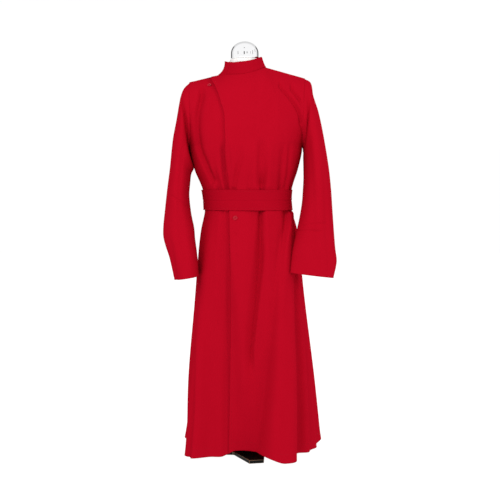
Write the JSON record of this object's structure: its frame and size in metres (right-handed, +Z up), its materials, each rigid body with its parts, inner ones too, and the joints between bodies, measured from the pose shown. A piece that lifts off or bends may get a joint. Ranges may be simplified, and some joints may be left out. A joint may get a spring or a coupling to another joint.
{
  "type": "double-breasted cassock on a limbless dress form",
  "caption": "Long double-breasted cassock with a stand collar, set-in sleeves and a sash belt, buttoned over a limbless dress form on a footed stand.",
  "frame": {"origin": "middle of the underside of the stand's base, on the floor", "axes": "+Z up, the garment's front faces -Y, +X is the wearer's left"},
  "size_m": [0.592, 0.4855, 1.429],
  "materials": {
    "cassock_cloth": "scarlet polyester and wool blend twill",
    "belt_cloth": "the same scarlet cloth, doubled and topstitched",
    "button_plastic": "red dyed polyester button",
    "form_jersey": "off-white jersey over a hard shell",
    "chrome": "polished chrome",
    "black_steel": "black enamel"
  },
  "bodies": {
    "root": {"front_left": "cassock_cloth", "front_right": "cassock_cloth", "back": "cassock_cloth", "sleeve_left": "cassock_cloth", "sleeve_right": "cassock_cloth", "collar": "cassock_cloth", "belt": "belt_cloth", "button_skirt": "button_plastic", "button_shoulder": "button_plastic", "form_body": "form_jersey", "neck_cap": "chrome", "stand_pole": "black_steel", "stand_base": "black_steel"}
  },
  "joints": []
}
